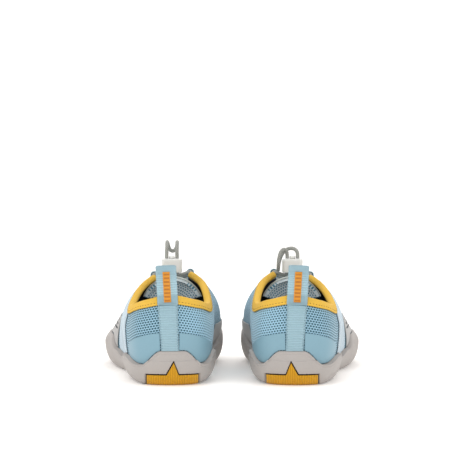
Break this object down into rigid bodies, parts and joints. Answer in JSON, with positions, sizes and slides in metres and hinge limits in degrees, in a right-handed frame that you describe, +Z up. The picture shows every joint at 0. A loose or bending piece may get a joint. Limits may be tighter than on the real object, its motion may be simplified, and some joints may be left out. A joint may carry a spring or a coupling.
{
  "type": "water shoes",
  "caption": "Pair of low-cut mesh water shoes with a bound collar, rubber cup sole, heel pull tab and elastic lace with a cord lock.",
  "frame": {"origin": "on the ground plane, at the centre of the pair's footprint", "axes": "+Z up, +Y from the heels towards the toes, +X towards the right shoe"},
  "size_m": [0.2176, 0.2559, 0.108],
  "materials": {
    "rubber": "matt moulded rubber",
    "insert_rubber": "matt ribbed rubber",
    "board": "matt non-woven",
    "insole_foam": "brushed knit over foam",
    "mesh": "open spacer mesh",
    "stiffener": "matt sheet",
    "lining": "fine knit",
    "binding_tape": "knitted elastic tape",
    "film": "satin film",
    "webbing": "ribbed woven tape",
    "marking": "satin print",
    "ribbed_film": "satin ribbed film",
    "overlay": "satin film",
    "edge_tape": "matt tape",
    "lace_cord": "braided elastic",
    "lock_plastic": "translucent moulded",
    "spring_steel": "bare wire"
  },
  "bodies": {
    "left_shoe": {"left_outsole": "rubber", "left_heel_insert": "insert_rubber", "left_lasting_board": "board", "left_insole": "insole_foam", "left_upper_shell": "mesh", "left_heel_stiffener": "stiffener", "left_collar_lining": "lining", "left_collar_binding": "binding_tape", "left_counter_lateral": "film", "left_counter_medial": "film", "left_heel_strap": "webbing", "left_pull_tab_anchor": "webbing", "left_ribbed_panel": "ribbed_film", "left_slit_overlay": "overlay", "left_medial_overlay": "overlay", "left_tongue": "mesh", "left_tongue_edge": "edge_tape", "left_eyestay_lateral": "overlay", "left_eyestay_medial": "overlay", "left_lace_guide_lateral_1": "webbing", "left_lace_guide_medial_1": "webbing", "left_lace_guide_lateral_2": "webbing", "left_lace_guide_medial_2": "webbing", "left_lace": "lace_cord", "left_lace_loop": "lace_cord"},
    "left_cord_lock": {"left_cord_lock_body": "lock_plastic", "left_lock_spring": "spring_steel"},
    "left_lock_button": {"left_cord_lock_button": "lock_plastic"},
    "left_pull_tab": {"left_pull_tab_loop": "webbing", "left_tab_marking": "marking"},
    "right_shoe": {"right_outsole": "rubber", "right_heel_insert": "insert_rubber", "right_lasting_board": "board", "right_insole": "insole_foam", "right_upper_shell": "mesh", "right_heel_stiffener": "stiffener", "right_collar_lining": "lining", "right_collar_binding": "binding_tape", "right_counter_lateral": "film", "right_counter_medial": "film", "right_heel_strap": "webbing", "right_pull_tab_anchor": "webbing", "right_ribbed_panel": "ribbed_film", "right_slit_overlay": "overlay", "right_medial_overlay": "overlay", "right_tongue": "mesh", "right_tongue_edge": "edge_tape", "right_eyestay_lateral": "overlay", "right_eyestay_medial": "overlay", "right_lace_guide_lateral_1": "webbing", "right_lace_guide_medial_1": "webbing", "right_lace_guide_lateral_2": "webbing", "right_lace_guide_medial_2": "webbing", "right_lace": "lace_cord", "right_lace_loop": "lace_cord"},
    "right_cord_lock": {"right_cord_lock_body": "lock_plastic", "right_lock_spring": "spring_steel"},
    "right_lock_button": {"right_cord_lock_button": "lock_plastic"},
    "right_pull_tab": {"right_pull_tab_loop": "webbing", "right_tab_marking": "marking"}
  },
  "joints": [
    {"name": "right_shoe_lift", "type": "slide", "parent": "left_shoe", "child": "right_shoe", "axis": [0, 0, 1], "range_m": [0, 0.25]},
    {"name": "left_lock_slide", "type": "slide", "parent": "left_shoe", "child": "left_cord_lock", "axis": [0, 0, 1], "range_m": [0, 0.0025]},
    {"name": "left_button_press", "type": "slide", "parent": "left_cord_lock", "child": "left_lock_button", "axis": [0, 0, -1], "range_m": [0, 0.002], "stiffness_N_per_m": 400, "springref_m": -0.001, "deforming": ["left_lock_spring"]},
    {"name": "left_pull_tab_bend", "type": "hinge", "parent": "left_shoe", "child": "left_pull_tab", "pos_m": [-0.05038, -0.12228, 0.07], "axis": [0.9994, 0.0349, 0], "range_deg": [0, 70], "stiffness_Nm_per_rad": 0.02},
    {"name": "right_lock_slide", "type": "slide", "parent": "right_shoe", "child": "right_cord_lock", "axis": [0, 0, 1], "range_m": [0, 0.0025]},
    {"name": "right_button_press", "type": "slide", "parent": "right_cord_lock", "child": "right_lock_button", "axis": [0, 0, -1], "range_m": [0, 0.002], "stiffness_N_per_m": 400, "springref_m": -0.001, "deforming": ["right_lock_spring"]},
    {"name": "right_pull_tab_bend", "type": "hinge", "parent": "right_shoe", "child": "right_pull_tab", "pos_m": [0.05038, -0.12228, 0.07], "axis": [0.9994, -0.0349, 0], "range_deg": [0, 70], "stiffness_Nm_per_rad": 0.02}
  ]
}
